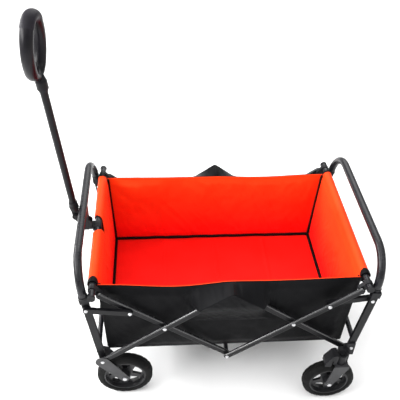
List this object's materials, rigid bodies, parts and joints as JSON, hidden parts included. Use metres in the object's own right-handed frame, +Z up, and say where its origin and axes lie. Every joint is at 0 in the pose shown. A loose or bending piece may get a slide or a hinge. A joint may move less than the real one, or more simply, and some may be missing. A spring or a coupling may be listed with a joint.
{
  "type": "folding camp wagon",
  "caption": "Folding hand-pulled wagon: fabric box hung in a scissor frame between two end hoops, telescoping ring handle, fixed and swivelling wheels.",
  "frame": {"origin": "on the ground, midway between the two feet of the folding frame and midway between left and right", "axes": "+Z up, -X to the handle end, +X to the caster end, -Y to the left side"},
  "size_m": [0.9916, 0.711, 1.1953],
  "materials": {
    "black_tube": "satin powder coat",
    "bright_steel": "zinc plated",
    "black_plastic": "moulded",
    "tyre": "moulded",
    "wheel_hub": "moulded",
    "orange_fabric": "coated woven polyester",
    "black_fabric": "coated woven polyester",
    "grip_rubber": "fine grained"
  },
  "bodies": {
    "front_end": {"front_hoop": "black_tube", "front_hoop_collars": "black_plastic", "front_lower_legs": "black_tube", "front_crosspiece": "black_tube", "front_forks": "black_tube", "front_axle_bolts": "bright_steel", "front_rivets": "bright_steel", "handle_bracket": "black_plastic", "handle_pivot_bolt": "bright_steel"},
    "front_left_wheel": {"front_left_tyre": "tyre", "front_left_hub": "wheel_hub"},
    "front_right_wheel": {"front_right_tyre": "tyre", "front_right_hub": "wheel_hub"},
    "handle": {"handle_yoke": "black_plastic", "outer_pole": "black_tube", "pole_bush": "black_plastic"},
    "grip": {"inner_pole": "black_tube", "grip_ring": "black_plastic", "grip_sleeve": "grip_rubber"},
    "front_foot_bars": {"front_left_foot_bar": "black_tube", "front_right_foot_bar": "black_tube", "front_foot_bar_rivets": "bright_steel"},
    "front_rim_bars": {"front_left_rim_bar": "black_tube", "front_right_rim_bar": "black_tube", "bottom_cross_tube": "black_tube", "rim_bar_rivets": "bright_steel"},
    "front_rim": {"front_crossbar": "black_tube", "front_corner_fittings": "black_plastic", "front_end_wall": "orange_fabric", "left_side_wall": "black_fabric", "right_side_wall": "black_fabric", "basket_floor": "orange_fabric"},
    "rear_foot_bars": {"rear_left_foot_bar": "black_tube", "rear_right_foot_bar": "black_tube", "rear_foot_bar_rivets": "bright_steel"},
    "rear_rim_bars": {"rear_left_rim_bar": "black_tube", "rear_right_rim_bar": "black_tube"},
    "rear_rim": {"rear_crossbar": "black_tube", "rear_corner_fittings": "black_plastic", "rear_end_wall": "orange_fabric"},
    "rear_end": {"rear_hoop": "black_tube", "rear_hoop_collars": "black_plastic", "rear_lower_legs": "black_tube", "rear_crosspiece": "black_tube", "caster_housings": "black_plastic", "rear_rivets": "bright_steel"},
    "front_link_pair": {"front_links": "black_tube", "front_link_rivets": "bright_steel"},
    "rear_link_pair": {"rear_links": "black_tube", "rear_link_rivets": "bright_steel"},
    "left_caster": {"left_caster_fork": "black_tube", "left_caster_pins": "bright_steel"},
    "right_caster": {"right_caster_fork": "black_tube", "right_caster_pins": "bright_steel"},
    "rear_left_wheel": {"rear_left_tyre": "tyre", "rear_left_hub": "wheel_hub"},
    "rear_right_wheel": {"rear_right_tyre": "tyre", "rear_right_hub": "wheel_hub"},
    "left_brake": {"left_brake_pedal": "black_plastic"},
    "right_brake": {"right_brake_pedal": "black_plastic"}
  },
  "joints": [
    {"name": "fold", "type": "hinge", "parent": "front_end", "child": "front_foot_bars", "pos_m": [-0.39189, 0, 0.18], "axis": [0, -1, 0], "range_deg": [0, 38.8], "deforming": ["left_side_wall", "right_side_wall", "basket_floor"]},
    {"name": "front_crossing", "type": "hinge", "parent": "front_foot_bars", "child": "front_rim_bars", "pos_m": [-0.19595, 0, 0.32873], "axis": [0, -1, 0], "range_deg": [-77.6, 0]},
    {"name": "front_rim_hinge", "type": "hinge", "parent": "front_rim_bars", "child": "front_rim", "pos_m": [-0.38074, 0, 0.469], "axis": [0, -1, 0], "range_deg": [0, 38.8]},
    {"name": "top_hinge", "type": "hinge", "parent": "front_foot_bars", "child": "rear_foot_bars", "pos_m": [0, 0, 0.47746], "axis": [0, -1, 0], "range_deg": [-77.6, 0]},
    {"name": "rear_crossing", "type": "hinge", "parent": "rear_foot_bars", "child": "rear_rim_bars", "pos_m": [0.19595, 0, 0.32873], "axis": [0, -1, 0], "range_deg": [0, 77.6]},
    {"name": "rear_foot_hinge", "type": "hinge", "parent": "rear_foot_bars", "child": "rear_end", "pos_m": [0.39189, 0, 0.18], "axis": [0, -1, 0], "range_deg": [0, 38.8]},
    {"name": "rear_rim_hinge", "type": "hinge", "parent": "rear_rim_bars", "child": "rear_rim", "pos_m": [0.38074, 0, 0.469], "axis": [0, -1, 0], "range_deg": [-38.8, 0]},
    {"name": "front_link_hinge", "type": "hinge", "parent": "front_end", "child": "front_link_pair", "pos_m": [-0.42187, 0, 0.42417], "axis": [0, -1, 0], "range_deg": [0, 71.91]},
    {"name": "rear_link_hinge", "type": "hinge", "parent": "rear_end", "child": "rear_link_pair", "pos_m": [0.42187, 0, 0.42417], "axis": [0, -1, 0], "range_deg": [-71.91, 0]},
    {"name": "handle_tilt", "type": "hinge", "parent": "front_end", "child": "handle", "pos_m": [-0.465, 0, 0.535], "axis": [0, -1, 0], "range_deg": [0, 120]},
    {"name": "handle_telescope", "type": "slide", "parent": "handle", "child": "grip", "axis": [-0.0906, 0, 0.9959], "range_m": [0, 0.24]},
    {"name": "front_left_wheel_spin", "type": "hinge", "parent": "front_end", "child": "front_left_wheel", "pos_m": [-0.32709, -0.278, 0.089], "axis": [0, 1, 0], "continuous": true},
    {"name": "front_right_wheel_spin", "type": "hinge", "parent": "front_end", "child": "front_right_wheel", "pos_m": [-0.32709, 0.278, 0.089], "axis": [0, 1, 0], "continuous": true},
    {"name": "left_caster_swivel", "type": "hinge", "parent": "rear_end", "child": "left_caster", "pos_m": [0.362, -0.328, 0.172], "axis": [0, 0, 1], "continuous": true},
    {"name": "rear_left_wheel_spin", "type": "hinge", "parent": "left_caster", "child": "rear_left_wheel", "pos_m": [0.334, -0.328, 0.084], "axis": [0, 1, 0], "continuous": true},
    {"name": "left_brake_press", "type": "hinge", "parent": "rear_end", "child": "left_brake", "pos_m": [0.338, -0.328, 0.186], "axis": [0, -1, 0], "range_deg": [0, 8]},
    {"name": "right_caster_swivel", "type": "hinge", "parent": "rear_end", "child": "right_caster", "pos_m": [0.362, 0.328, 0.172], "axis": [0, 0, 1], "continuous": true},
    {"name": "rear_right_wheel_spin", "type": "hinge", "parent": "right_caster", "child": "rear_right_wheel", "pos_m": [0.334, 0.328, 0.084], "axis": [0, 1, 0], "continuous": true},
    {"name": "right_brake_press", "type": "hinge", "parent": "rear_end", "child": "right_brake", "pos_m": [0.338, 0.328, 0.186], "axis": [0, -1, 0], "range_deg": [0, 8]}
  ],
  "couplings": [
    {"joint": "front_crossing", "follows": "fold", "ratio": -2},
    {"joint": "front_rim_hinge", "follows": "fold", "ratio": 1},
    {"joint": "top_hinge", "follows": "fold", "ratio": -2},
    {"joint": "rear_crossing", "follows": "fold", "ratio": 2},
    {"joint": "rear_foot_hinge", "follows": "fold", "ratio": 1},
    {"joint": "rear_rim_hinge", "follows": "fold", "ratio": -1},
    {"joint": "front_link_hinge", "follows": "fold", "ratio": 1.8534},
    {"joint": "rear_link_hinge", "follows": "fold", "ratio": -1.8534}
  ]
}
